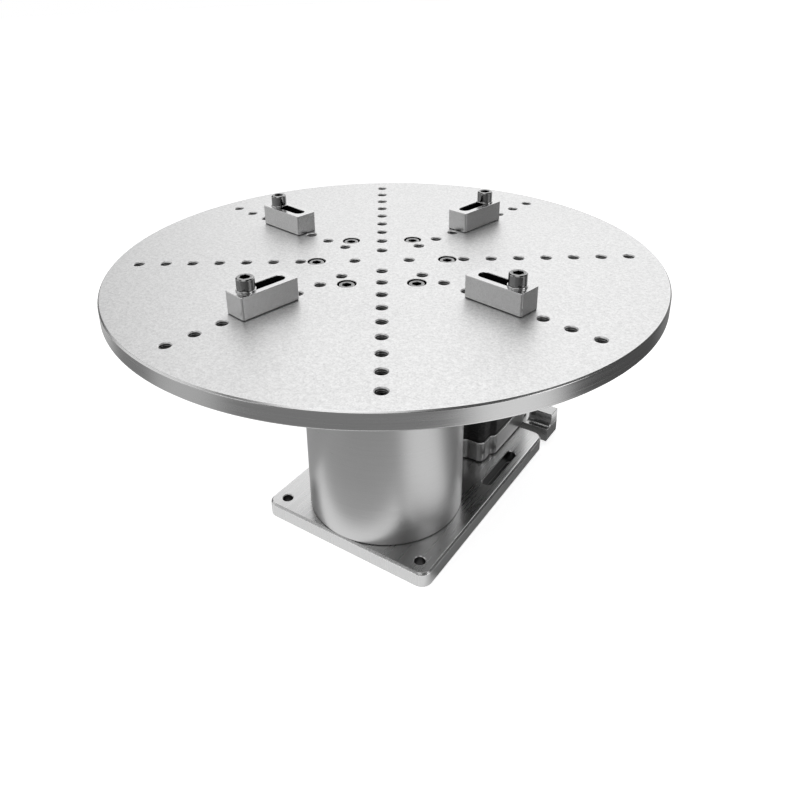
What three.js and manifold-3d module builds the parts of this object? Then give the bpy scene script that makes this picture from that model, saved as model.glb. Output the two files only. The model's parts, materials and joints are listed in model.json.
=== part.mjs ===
// A motor-driven rotary table: a drilled round plate with four slotted clamps turns on a
// tubular column, driven by a belt from a motor that stands behind the column.
// Millimetres, +Z up. The origin is on the spindle's axis, on the ground under the base.
// +Y runs from the column to the motor.

import * as THREE from "three";
import { mergeVertices } from "three/addons/utils/BufferGeometryUtils.js";
import Module from "manifold-3d";

const wasm = await Module();
wasm.setup();

// ---------------------------------------------------------------- driving dimensions

const seatGap = 0.3; // round pieces stand this far inside the bores that hold them
const runningGap = 1.5; // faces that turn past each other are this far apart
const tipGap = 2; // a screw stops this far short of the end of its hole
const over = 1; // a cutting solid runs past the face it opens by this much
const weldDistance = 1e-4; // corners nearer than this are the same corner
const sameReach = 1e-6; // two circles that reach as far as this share a straight side

// Table plate
const tableDiameter = 400;
const tableThickness = 12;
const tableEdgeChamfer = 1;
const tableRestTurn = 34; // degrees from +X to the plate's first row of holes
const holePitch = 20; // the tapped holes step outwards by this much
const holeRows = 8;
const rimMargin = 15; // no hole is centred nearer to the rim
const tappedPlay = 0.5; // the tapped holes are this much wider than their screws
const plateScrewCircle = 96;
const plateScrewCount = 6;
const plateScrewEdge = 10; // from the plate screws' circle to the hub's rim
const counterboreGap = 0.7; // around and above a sunk screw head

// Screws: thread, head and socket
const bigScrew = { shank: 4, head: 6, headHeight: 8, socket: 3.5, socketDepth: 4.5 };
const plateScrew = { shank: 4, head: 6, headHeight: 7, socket: 3.5, socketDepth: 4 };
const smallScrew = { shank: 3, head: 5, headHeight: 6, socket: 2.9, socketDepth: 3 };
const lowScrew = { shank: 3, head: 5, headHeight: 4, socket: 2.9, socketDepth: 2 };
const coverScrew = { shank: 2, head: 3.8, headHeight: 2.2, socket: 1.4, socketDepth: 1.2 };
const headChamfer = 0.6;
const threadDepth = 14; // how far a frame screw reaches into its thread
const frameScrewCount = 4; // at each end of the column

// Clamps on the diagonal rows
const clampCount = 4;
const clampHole = 6; // the clamp's screw goes into this hole, counted from the centre
const blockLength = 45;
const blockWidth = 18;
const blockHeight = 16;
const blockCornerChamfer = 1.2;
const slotPlay = 0.8; // the slot is this much wider than its screw
const slotEndWall = 5.3; // between the slot and the block's inner end
const screwToBlockEnd = 10; // from the screw to the block's outer end
const washerLip = 0.6; // the washer stands this far outside the screw's head
const washerThickness = 1;

// Base
const baseSideMargin = 24; // from the motor's flank to the base's side
const baseFrontMargin = 0.5; // from the column to the base's front edge
const baseUnderMotor = 22; // the base ends this far behind the motor's axis
const baseThickness = 13;
const baseCornerRadius = 9;
const baseEdgeChamfer = 1.5;
const baseHoleDiameter = 8.5;
const baseHoleInset = 12.5; // from the base's side and front edges to the hole's centre
const baseSlotStart = 55;
const baseSlotEnd = 110;

// Column
const columnDiameter = 127;
const columnWall = 9.5;
const columnHeight = 159;

// Drive housing on top of the column
const housingFloor = 6;
const housingRoom = 21; // height inside, for the belt and its pulleys
const housingWall = 5;
const coverThickness = 4;
const coverGap = 4.5; // between the spindle and the cover
const columnOverhang = 2.5; // the housing stands this far outside the column
const bossRadius = 5.5;
const bossMargin = 0.5; // from a cover boss to the housing's outside
const bossToPulley = 1; // between a cover boss and the pulley's flange
const flatScrewSink = 0.2; // a flat head lies this far below the cover's top
const housingCornerRadius = 14;
const pilotRadius = 24;
const pilotHeight = 3;

// Spindle and its two bearings
const spindleRadius = 20;
const hubThickness = 8.5;
const bearingBand = 5.6; // radial thickness of one bearing ring
const bearingBallRoom = 4; // between the inner and the outer ring
const bearingHeight = 16;
const bearingSpread = 12; // between the two bearings
const bearingDepth = 2; // from the housing's floor down to the upper bearing
const nutHeight = 6;
const nutBand = 8;

// Belt drive
const toothPitch = 5;
const spindleTeeth = 56;
const motorTeeth = 24;
const beltWidth = 15;
const beltThickness = 3;
const pulleyFlange = 1.2;
const pulleySideGap = 1.5; // between the pulleys and the housing's floor and cover

// Motor
const motorHalfWidth = 53.5;
const motorGapToColumn = 11;
const lobeStep = 3.6; // the corner lobes stand back from the flanks by this much
const lobeWidth = 14;
const motorCornerRadius = 6;
const rearBellHeight = 20.5;
const frontBellHeight = 16;
const motorShaftRadius = 9.5;
const rotorRadius = 28;
const rotorAirGap = 0.6;
const rotorEndRoom = 8; // between the rotor and the end bells
const motorScrewInset = 9; // from the motor's flank to its screws
const connectorRadius = 9;
const connectorLength = 11;
const connectorHeight = 62;
const connectorWall = 1.5;
const connectorFloor = 3;

// Foot under the motor's far end
const footGap = 8; // between the base and the foot
const footBackMargin = 0.5; // the foot reaches this far past the motor
const footLedge = 9.5; // the low part nearest the base
const earHeight = 24.5;
const earGap = 1.5; // between the motor and the foot's ears

// Sides of the polygons that stand for circles, by the size of the circle
const plateSides = 80;
const largeSides = 40;
const middleSides = 24;
const headSides = 16;
const hiddenSides = 10;
const bendSteps = 4; // straight pieces in each bend of an end bell

// ---------------------------------------------------------------- derived places

const columnRadius = columnDiameter / 2;
const columnBore = columnRadius - columnWall;
const columnWallMiddle = columnRadius - columnWall / 2;
const columnTop = baseThickness + columnHeight;
const floorTop = columnTop + housingFloor;
const housingTop = floorTop + housingRoom;
const coverTop = housingTop + coverThickness;
const hubBottom = coverTop + runningGap;
const tableBottom = hubBottom + hubThickness;
const tableTop = tableBottom + tableThickness;
const tableRadius = tableDiameter / 2;
const tappedRadius = bigScrew.shank + tappedPlay / 2;
const hubRadius = plateScrewCircle / 2 + plateScrewEdge;
const plateCounterbore = plateScrew.head + counterboreGap;
const plateScrewSeat = tableTop - plateScrew.headHeight - counterboreGap;

const spindleBore = spindleRadius + seatGap;
const innerRingRadius = spindleBore + bearingBand;
const outerRingBore = innerRingRadius + bearingBallRoom;
const outerRingRadius = outerRingBore + bearingBand;
const bearingSeat = outerRingRadius + seatGap;
const upperBearingBottom = floorTop - bearingDepth - bearingHeight;
const lowerBearingBottom = upperBearingBottom - bearingSpread - bearingHeight;
const nutBottom = lowerBearingBottom - nutHeight;

const spindlePulleyRadius = (spindleTeeth * toothPitch) / (2 * Math.PI);
const motorPulleyRadius = (motorTeeth * toothPitch) / (2 * Math.PI);
const pulleyBottom = floorTop + pulleySideGap;
const pulleyTop = housingTop - pulleySideGap;
const beltBottom = (pulleyBottom + pulleyTop - beltWidth) / 2;

const motorY = columnRadius + motorGapToColumn + motorHalfWidth;
const rearBellTop = baseThickness + rearBellHeight;
const frontBellBottom = columnTop - frontBellHeight;
const baseSide = motorHalfWidth + baseSideMargin;
const baseFrontEdge = -(columnRadius + baseFrontMargin);
const baseBackEdge = motorY + baseUnderMotor;
const footFront = baseBackEdge + footGap;
const footBack = motorY + motorHalfWidth + footBackMargin;

// The housing is as wide as the column needs, or the pulley between its cover bosses.
const bossInset = bossRadius + bossMargin;
const widestPulley = spindlePulleyRadius + beltThickness;
const housingRadius = Math.max(
  columnRadius + columnOverhang,
  widestPulley + bossToPulley + bossRadius + bossInset,
);
const cornerInset = motorHalfWidth + columnOverhang - housingCornerRadius;

// ---------------------------------------------------------------- materials

function finish(color, roughness, metalness) {
  return { color, roughness, metalness };
}

const blastedAluminium = finish(0xcfd0d2, 0.45, 0.85);
const turnedAluminium = finish(0xa9abae, 0.35, 0.9);
const milledAluminium = finish(0xb9bbbe, 0.4, 0.9);
const castAluminium = finish(0x9a9ca0, 0.55, 0.8);
const brightSteel = finish(0xc4c6ca, 0.15, 1);
const darkSteel = finish(0x3a3b3d, 0.35, 0.9);
const blackPaint = finish(0x151617, 0.5, 0.2);
const beltRubber = finish(0x1b1b1c, 0.8, 0);

// ---------------------------------------------------------------- solids

// A closed geometry as a solid that can be joined and cut.
function solid(geometry) {
  const bare = new THREE.BufferGeometry();
  bare.setAttribute("position", geometry.getAttribute("position").clone());
  if (geometry.index) bare.setIndex(geometry.index.clone());
  const merged = mergeVertices(bare, weldDistance);
  const corners = merged.index.array;
  const kept = [];
  for (let i = 0; i < corners.length; i += 3) {
    const [a, b, c] = [corners[i], corners[i + 1], corners[i + 2]];
    if (a !== b && b !== c && c !== a) kept.push(a, b, c);
  }
  return new wasm.Manifold(
    new wasm.Mesh({
      numProp: 3,
      vertProperties: new Float32Array(merged.attributes.position.array),
      triVerts: new Uint32Array(kept),
    }),
  );
}

function geometryOf(body) {
  const mesh = body.getMesh();
  const geometry = new THREE.BufferGeometry();
  geometry.setAttribute("position", new THREE.BufferAttribute(mesh.vertProperties, 3));
  geometry.setIndex(new THREE.BufferAttribute(mesh.triVerts, 1));
  return geometry;
}

function joined(first, ...others) {
  return others.reduce((whole, other) => whole.add(other), first);
}

function cut(body, ...tools) {
  return tools.reduce((left, tool) => left.subtract(tool), body);
}

// A profile of [radius, height] pairs, counter-clockwise seen with the axis on the left,
// turned about the Z axis through (x, y).
function turned(profile, sides, x = 0, y = 0) {
  const points = profile.map(([r, z]) => new THREE.Vector2(r, z));
  const geometry = new THREE.LatheGeometry(points, sides);
  geometry.rotateX(Math.PI / 2);
  return solid(geometry.translate(x, y, 0));
}

function rod(radius, bottom, top, sides, x = 0, y = 0) {
  const profile = [
    [0, bottom],
    [radius, bottom],
    [radius, top],
    [0, top],
  ];
  return turned(profile, sides, x, y);
}

function ring(inner, outer, bottom, top, sides) {
  const profile = [
    [inner, bottom],
    [outer, bottom],
    [outer, top],
    [inner, top],
    [inner, bottom],
  ];
  return turned(profile, sides);
}

function slab(shape, bottom, top) {
  const geometry = new THREE.ExtrudeGeometry(shape, {
    depth: top - bottom,
    bevelEnabled: false,
    curveSegments: bendSteps,
  });
  return solid(geometry.translate(0, 0, bottom));
}

function box(x0, x1, y0, y1, z0, z1) {
  const geometry = new THREE.BoxGeometry(x1 - x0, y1 - y0, z1 - z0);
  return solid(geometry.translate((x0 + x1) / 2, (y0 + y1) / 2, (z0 + z1) / 2));
}

// A slab whose top edge is chamfered all round.
function chamferedSlab(shape, bottom, top, chamfer) {
  const geometry = new THREE.ExtrudeGeometry(shape, {
    depth: top - bottom - chamfer,
    bevelEnabled: true,
    bevelSegments: 1,
    bevelSize: chamfer,
    bevelThickness: chamfer,
    bevelOffset: -chamfer,
    curveSegments: bendSteps,
  });
  const whole = solid(geometry.translate(0, 0, bottom));
  const { min, max } = whole.boundingBox();
  const below = box(min[0] - over, max[0] + over, min[1] - over, max[1] + over, min[2] - over, bottom);
  return cut(whole, below);
}

// The outline of a tight band around circles given as [x, y, radius]. In each direction it
// takes the circle that reaches furthest, or both circles where a straight side lies.
function bandAround(circles, steps) {
  const points = [];
  for (let i = 0; i < steps; i++) {
    const turn = (2 * Math.PI * i) / steps;
    const nx = Math.cos(turn);
    const ny = Math.sin(turn);
    const reach = ([x, y, r]) => x * nx + y * ny + r;
    const along = ([x, y]) => y * nx - x * ny;
    const furthest = Math.max(...circles.map(reach));
    circles
      .filter((circle) => furthest - reach(circle) < sameReach)
      .sort((a, b) => along(a) - along(b))
      .forEach(([x, y, r]) => points.push(new THREE.Vector2(x + r * nx, y + r * ny)));
  }
  return points;
}

function roundedRectangle(x0, x1, y0, y1, radius) {
  const corners = [x0 + radius, x1 - radius].flatMap((x) =>
    [y0 + radius, y1 - radius].map((y) => [x, y, radius]),
  );
  return new THREE.Shape(bandAround(corners, middleSides));
}

function slotShape(x, y0, y1, width) {
  const r = width / 2;
  const ends = [
    [x, y0 + r, r],
    [x, y1 - r, r],
  ];
  return new THREE.Shape(bandAround(ends, headSides));
}

// ---------------------------------------------------------------- scene graph

const group = new THREE.Group();

function place(parent, name, body, look) {
  const material = new THREE.MeshStandardMaterial(look);
  const mesh = new THREE.Mesh(geometryOf(body), material);
  mesh.name = name;
  parent.add(mesh);
  return mesh;
}

// A socket-head screw, head up, with the underside of its head at height seat.
function capScrew(kind, length, seat, x = 0, y = 0, sides = headSides) {
  const top = seat + kind.headHeight;
  const profile = [
    [0, seat - length],
    [kind.shank, seat - length],
    [kind.shank, seat],
    [kind.head, seat],
    [kind.head, top - headChamfer],
    [kind.head - headChamfer, top],
    [0, top],
  ];
  const blank = turned(profile, sides, x, y);
  const socket = rod(kind.socket, top - kind.socketDepth, top + over, 6, x, y);
  return cut(blank, socket);
}

// The same screw the other way up: its head is sunk in an underside, and it points up.
function risingScrew(kind, length, seat, x, y) {
  const bottom = seat - kind.headHeight;
  const profile = [
    [0, bottom],
    [kind.head, bottom],
    [kind.head, seat],
    [kind.shank, seat],
    [kind.shank, seat + length],
    [0, seat + length],
  ];
  const blank = turned(profile, hiddenSides, x, y);
  const socket = rod(kind.socket, bottom - over, bottom + kind.socketDepth, 6, x, y);
  return cut(blank, socket);
}

// ---------------------------------------------------------------- fastener places

function aroundCircle(count, radius, firstTurn) {
  return Array.from({ length: count }, (_, i) => {
    const turn = firstTurn + (2 * Math.PI * i) / count;
    return [radius * Math.cos(turn), radius * Math.sin(turn)];
  });
}

const plateScrewSpots = aroundCircle(plateScrewCount, plateScrewCircle / 2, 0);
const footScrewSpots = aroundCircle(frameScrewCount, columnWallMiddle, Math.PI / 4);
const housingScrewSpots = aroundCircle(frameScrewCount, columnWallMiddle, 0);
const half = motorHalfWidth - motorScrewInset;
const motorScrewSpots = [
  [half, motorY - half],
  [-half, motorY - half],
  [-half, motorY + half],
  [half, motorY + half],
];
const frontBossAt = (housingRadius - bossInset) * Math.SQRT1_2;
const flankBossAt = motorHalfWidth + columnOverhang - bossInset;
const coverScrewSpots = [
  [frontBossAt, -frontBossAt],
  [-frontBossAt, -frontBossAt],
  [-flankBossAt, motorY],
  [flankBossAt, motorY],
];

// ---------------------------------------------------------------- table

// Tapped holes step outwards along each row. A row leaves out the holes that would run
// into a plate screw, and the diagonal rows start at the second step.
function tappedHoleSpots() {
  const last = Math.floor((tableRadius - rimMargin) / holePitch);
  const nearest = plateCounterbore + tappedRadius;
  const spots = [];
  for (let row = 0; row < holeRows; row++) {
    const turn = (2 * Math.PI * row) / holeRows;
    const first = row % 2 === 0 ? 1 : 2;
    for (let step = first; step <= last; step++) {
      const x = step * holePitch * Math.cos(turn);
      const y = step * holePitch * Math.sin(turn);
      const free = plateScrewSpots.every(([sx, sy]) => Math.hypot(x - sx, y - sy) > nearest);
      if (free) spots.push([x, y]);
    }
  }
  return spots;
}

function tablePlate() {
  const edge = tableEdgeChamfer;
  const profile = [
    [0, tableBottom],
    [tableRadius - edge, tableBottom],
    [tableRadius, tableBottom + edge],
    [tableRadius, tableTop - edge],
    [tableRadius - edge, tableTop],
    [0, tableTop],
  ];
  const tapped = tappedHoleSpots().map(([x, y]) =>
    rod(tappedRadius, tableBottom - over, tableTop + over, hiddenSides, x, y),
  );
  const sunk = plateScrewSpots.flatMap(([x, y]) => [
    rod(plateCounterbore, plateScrewSeat, tableTop + over, headSides, x, y),
    rod(plateScrew.shank + seatGap, tableBottom - over, plateScrewSeat + over, hiddenSides, x, y),
  ]);
  return cut(turned(profile, plateSides), ...tapped, ...sunk);
}

function spindle() {
  const profile = [
    [0, nutBottom],
    [spindleRadius, nutBottom],
    [spindleRadius, hubBottom],
    [hubRadius, hubBottom],
    [hubRadius, tableBottom],
    [0, tableBottom],
  ];
  const threads = plateScrewSpots.map(([x, y]) =>
    rod(plateScrew.shank + seatGap, hubBottom - over, tableBottom + over, hiddenSides, x, y),
  );
  return cut(turned(profile, largeSides), ...threads);
}

// A toothed pulley between two thin flanges. The belt's teeth fill its grooves, so the
// rim stands a little inside the belt.
function pulley(pitchRadius, bore, sides, x, y) {
  const rim = pitchRadius - seatGap;
  const flange = pitchRadius + beltThickness - seatGap;
  const profile = [
    [bore, pulleyBottom],
    [flange, pulleyBottom],
    [flange, pulleyBottom + pulleyFlange],
    [rim, pulleyBottom + pulleyFlange],
    [rim, pulleyTop - pulleyFlange],
    [flange, pulleyTop - pulleyFlange],
    [flange, pulleyTop],
    [bore, pulleyTop],
    [bore, pulleyBottom],
  ];
  return turned(profile, sides, x, y);
}

function addTable() {
  const table = new THREE.Group();
  table.rotation.z = THREE.MathUtils.degToRad(tableRestTurn);
  group.add(table);
  place(table, "table_plate", tablePlate(), blastedAluminium);
  place(table, "spindle", spindle(), turnedAluminium);
  for (const [name, bottom] of [
    ["lower_bearing_inner", lowerBearingBottom],
    ["upper_bearing_inner", upperBearingBottom],
  ]) {
    const body = ring(spindleBore, innerRingRadius, bottom, bottom + bearingHeight, middleSides);
    place(table, name, body, brightSteel);
  }
  const nutRadius = spindleBore + nutBand;
  const nut = ring(spindleBore, nutRadius, nutBottom, lowerBearingBottom, middleSides);
  place(table, "spindle_nut", nut, darkSteel);
  const driven = pulley(spindlePulleyRadius, spindleBore, largeSides, 0, 0);
  place(table, "spindle_pulley", driven, milledAluminium);
  const reach = plateScrewSeat - hubBottom - tipGap;
  plateScrewSpots.forEach(([x, y], i) => {
    const body = capScrew(plateScrew, reach, plateScrewSeat, x, y);
    place(table, `plate_screw_${i + 1}`, body, brightSteel);
  });
  return table;
}

// ---------------------------------------------------------------- clamps

// The block lies along +X with the screw's axis at its own origin, the slot's outer end
// round the screw.
function clampBlock() {
  const outer = screwToBlockEnd;
  const inner = outer - blockLength;
  const side = blockWidth / 2;
  const c = blockCornerChamfer;
  const outline = new THREE.Shape();
  outline.moveTo(inner + c, -side);
  outline.lineTo(outer - c, -side);
  outline.lineTo(outer, c - side);
  outline.lineTo(outer, side - c);
  outline.lineTo(outer - c, side);
  outline.lineTo(inner + c, side);
  outline.lineTo(inner, side - c);
  outline.lineTo(inner, c - side);
  outline.closePath();
  const r = bigScrew.shank + slotPlay / 2;
  const slotEnds = [
    [inner + slotEndWall + r, 0, r],
    [0, 0, r],
  ];
  const slot = new THREE.Shape(bandAround(slotEnds, middleSides));
  const blank = slab(outline, tableTop, tableTop + blockHeight);
  return cut(blank, slab(slot, tableTop - over, tableTop + blockHeight + over));
}

function addClamps(table) {
  const blockTop = tableTop + blockHeight;
  const seat = blockTop + washerThickness;
  const shankLength = seat - tableBottom - tipGap;
  const screwBore = bigScrew.shank + seatGap;
  const washerRadius = bigScrew.head + washerLip;
  const reach = clampHole * holePitch;
  for (let i = 0; i < clampCount; i++) {
    const name = `clamp_${i + 1}`;
    const turn = Math.PI / 4 + (2 * Math.PI * i) / clampCount;
    const clamp = new THREE.Group();
    clamp.position.set(reach * Math.cos(turn), reach * Math.sin(turn), 0);
    clamp.rotation.z = turn;
    table.add(clamp);
    place(clamp, `${name}_block`, clampBlock(), milledAluminium);
    const washer = ring(screwBore, washerRadius, blockTop, seat, headSides);
    place(clamp, `${name}_washer`, washer, brightSteel);
    const screw = capScrew(bigScrew, shankLength, seat);
    place(clamp, `${name}_screw`, screw, brightSteel);
  }
}

// ---------------------------------------------------------------- base and column

const screwSink = smallScrew.headHeight + counterboreGap; // depth in an underside
const sinkRadius = smallScrew.head + counterboreGap;

// A counterbored hole for a screw that comes up through an underside.
function risingHole([x, y]) {
  return joined(
    rod(sinkRadius, -over, screwSink, headSides, x, y),
    rod(smallScrew.shank + seatGap, screwSink - over, baseThickness + over, hiddenSides, x, y),
  );
}

function threadHole([x, y], bottom, top) {
  return rod(smallScrew.shank + seatGap, bottom, top, hiddenSides, x, y);
}

function basePlate() {
  const outline = roundedRectangle(
    -baseSide,
    baseSide,
    baseFrontEdge,
    baseBackEdge,
    baseCornerRadius,
  );
  const blank = chamferedSlab(outline, 0, baseThickness, baseEdgeChamfer);
  const holeX = baseSide - baseHoleInset;
  const holeY = baseFrontEdge + baseHoleInset;
  const open = [-over, baseThickness + over];
  const boltHoles = [-holeX, holeX].flatMap((x) => [
    rod(baseHoleDiameter / 2, ...open, headSides, x, holeY),
    slab(slotShape(x, baseSlotStart, baseSlotEnd, baseHoleDiameter), ...open),
  ]);
  const screwHoles = [...footScrewSpots, ...motorScrewSpots].map(risingHole);
  return cut(blank, ...boltHoles, ...screwHoles);
}

function rearFoot() {
  const pocket = motorHalfWidth + earGap;
  const foot = box(-baseSide, baseSide, footFront, footBack, 0, baseThickness);
  const ears = [
    [-baseSide, -pocket],
    [pocket, baseSide],
  ].map(([x0, x1]) =>
    box(x0, x1, footFront + footLedge, footBack, baseThickness - over, earHeight),
  );
  return cut(joined(foot, ...ears), ...motorScrewSpots.map(risingHole));
}

function column() {
  const tube = ring(columnBore, columnRadius, baseThickness, columnTop, largeSides);
  const low = footScrewSpots.map((spot) =>
    threadHole(spot, baseThickness - over, baseThickness + threadDepth + tipGap),
  );
  const high = housingScrewSpots.map((spot) =>
    threadHole(spot, columnTop - threadDepth - tipGap, columnTop + over),
  );
  return cut(tube, ...low, ...high);
}

function addBase() {
  place(group, "base_plate", basePlate(), milledAluminium);
  place(group, "rear_foot", rearFoot(), milledAluminium);
  place(group, "column", column(), turnedAluminium);
  const reach = baseThickness - screwSink + threadDepth;
  footScrewSpots.forEach(([x, y], i) => {
    const body = risingScrew(smallScrew, reach, screwSink, x, y);
    place(group, `column_foot_screw_${i + 1}`, body, darkSteel);
  });
}

// ---------------------------------------------------------------- drive housing

// The housing's outline, drawn in by a wall's thickness: round the column's top in front,
// and square with round corners over the motor.
function housingOutline(inset) {
  const circles = [
    [0, 0, housingRadius - inset],
    [-cornerInset, motorY + cornerInset, housingCornerRadius - inset],
    [cornerInset, motorY + cornerInset, housingCornerRadius - inset],
  ];
  return new THREE.Shape(bandAround(circles, largeSides));
}

function driveHousing() {
  const shell = cut(
    slab(housingOutline(0), columnTop, housingTop),
    slab(housingOutline(housingWall), floorTop, housingTop + over),
  );
  const spigot = rod(columnBore - seatGap, lowerBearingBottom, columnTop + over, largeSides);
  const bosses = coverScrewSpots.map(([x, y]) =>
    rod(bossRadius, columnTop + over, housingTop, headSides, x, y),
  );
  const core = [
    [0, lowerBearingBottom - over],
    [bearingSeat, lowerBearingBottom - over],
    [bearingSeat, lowerBearingBottom + bearingHeight],
    [outerRingBore, lowerBearingBottom + bearingHeight],
    [outerRingBore, upperBearingBottom],
    [bearingSeat, upperBearingBottom],
    [bearingSeat, floorTop + over],
    [0, floorTop + over],
  ];
  const columnScrewHoles = housingScrewSpots.flatMap(([x, y]) => [
    threadHole([x, y], columnTop - over, floorTop + over),
    rod(lowScrew.head + seatGap, floorTop, pulleyTop, headSides, x, y),
  ]);
  const motorScrewHoles = motorScrewSpots.map((spot) =>
    threadHole(spot, columnTop - over, floorTop + over),
  );
  const coverThreads = coverScrewSpots.map(([x, y]) =>
    rod(coverScrew.shank + seatGap, housingTop - threadDepth, housingTop + over, hiddenSides, x, y),
  );
  return cut(
    joined(shell, spigot, ...bosses),
    turned(core, middleSides),
    rod(pilotRadius, columnTop - over, floorTop + over, middleSides, 0, motorY),
    ...columnScrewHoles,
    ...motorScrewHoles,
    ...coverThreads,
  );
}

// A flat-head screw in the cover, its head just below the cover's top.
function flatScrew([x, y]) {
  const top = coverTop - flatScrewSink;
  const neck = top - coverScrew.headHeight;
  const bottom = housingTop - threadDepth + tipGap;
  const profile = [
    [0, bottom],
    [coverScrew.shank, bottom],
    [coverScrew.shank, neck],
    [coverScrew.head, top],
    [0, top],
  ];
  const socket = rod(coverScrew.socket, top - coverScrew.socketDepth, top + over, 6, x, y);
  return cut(turned(profile, hiddenSides, x, y), socket);
}

function flatScrewSeat([x, y]) {
  const neck = coverTop - flatScrewSink - coverScrew.headHeight;
  const flare = (coverScrew.head - coverScrew.shank) / coverScrew.headHeight;
  const mouth = coverScrew.head + (flatScrewSink + over) * flare;
  const profile = [
    [0, housingTop - over],
    [coverScrew.shank + seatGap, housingTop - over],
    [coverScrew.shank + seatGap, neck],
    [mouth + seatGap, coverTop + over],
    [0, coverTop + over],
  ];
  return turned(profile, hiddenSides, x, y);
}

function housingCover() {
  return cut(
    slab(housingOutline(0), housingTop, coverTop),
    rod(spindleRadius + coverGap, housingTop - over, coverTop + over, middleSides),
    ...coverScrewSpots.map(flatScrewSeat),
  );
}

// The belt runs round both pulleys, its inner face on their rims.
function driveBelt() {
  const band = (grow) => [
    [0, 0, spindlePulleyRadius + grow],
    [0, motorY, motorPulleyRadius + grow],
  ];
  const outer = new THREE.Shape(bandAround(band(beltThickness - 2 * seatGap), largeSides));
  const inner = new THREE.Shape(bandAround(band(0), largeSides));
  return cut(
    slab(outer, beltBottom, beltBottom + beltWidth),
    slab(inner, beltBottom - over, beltBottom + beltWidth + over),
  );
}

function addDrive() {
  place(group, "drive_housing", driveHousing(), castAluminium);
  place(group, "housing_cover", housingCover(), milledAluminium);
  place(group, "drive_belt", driveBelt(), beltRubber);
  for (const [name, bottom] of [
    ["lower_bearing_outer", lowerBearingBottom],
    ["upper_bearing_outer", upperBearingBottom],
  ]) {
    const body = ring(outerRingBore, outerRingRadius, bottom, bottom + bearingHeight, middleSides);
    place(group, name, body, brightSteel);
  }
  const reach = housingFloor + threadDepth;
  housingScrewSpots.forEach(([x, y], i) => {
    const body = capScrew(lowScrew, reach, floorTop, x, y, hiddenSides);
    place(group, `housing_screw_${i + 1}`, body, darkSteel);
  });
  coverScrewSpots.forEach((spot, i) => {
    place(group, `cover_screw_${i + 1}`, flatScrew(spot), darkSteel);
  });
}

// ---------------------------------------------------------------- motor

// An end bell's outline: a square whose flanks bulge out between four corner lobes.
function bellOutline() {
  const lobe = motorHalfWidth - lobeStep;
  const r = motorCornerRadius;
  const lobeEnd = lobe - lobeWidth;
  const flankEnd = lobeEnd - 2 * lobeStep;
  const bend = lobeStep;
  const outline = new THREE.Shape();
  const corner = new THREE.Vector2();
  const at = (u, v, turn) => {
    corner.set(u, v).rotateAround(new THREE.Vector2(), turn);
    return [corner.x, corner.y + motorY];
  };
  for (let side = 0; side < 4; side++) {
    const turn = (side * Math.PI) / 2;
    if (side === 0) outline.moveTo(...at(motorHalfWidth, -flankEnd, turn));
    outline.lineTo(...at(motorHalfWidth, flankEnd, turn));
    outline.bezierCurveTo(
      ...at(motorHalfWidth, flankEnd + bend, turn),
      ...at(lobe, lobeEnd - bend, turn),
      ...at(lobe, lobeEnd, turn),
    );
    outline.lineTo(...at(lobe, lobe - r, turn));
    outline.quadraticCurveTo(...at(lobe, lobe, turn), ...at(lobe - r, lobe, turn));
    outline.lineTo(...at(lobeEnd, lobe, turn));
    outline.bezierCurveTo(
      ...at(lobeEnd - bend, lobe, turn),
      ...at(flankEnd + bend, motorHalfWidth, turn),
      ...at(flankEnd, motorHalfWidth, turn),
    );
  }
  return outline;
}

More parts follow.
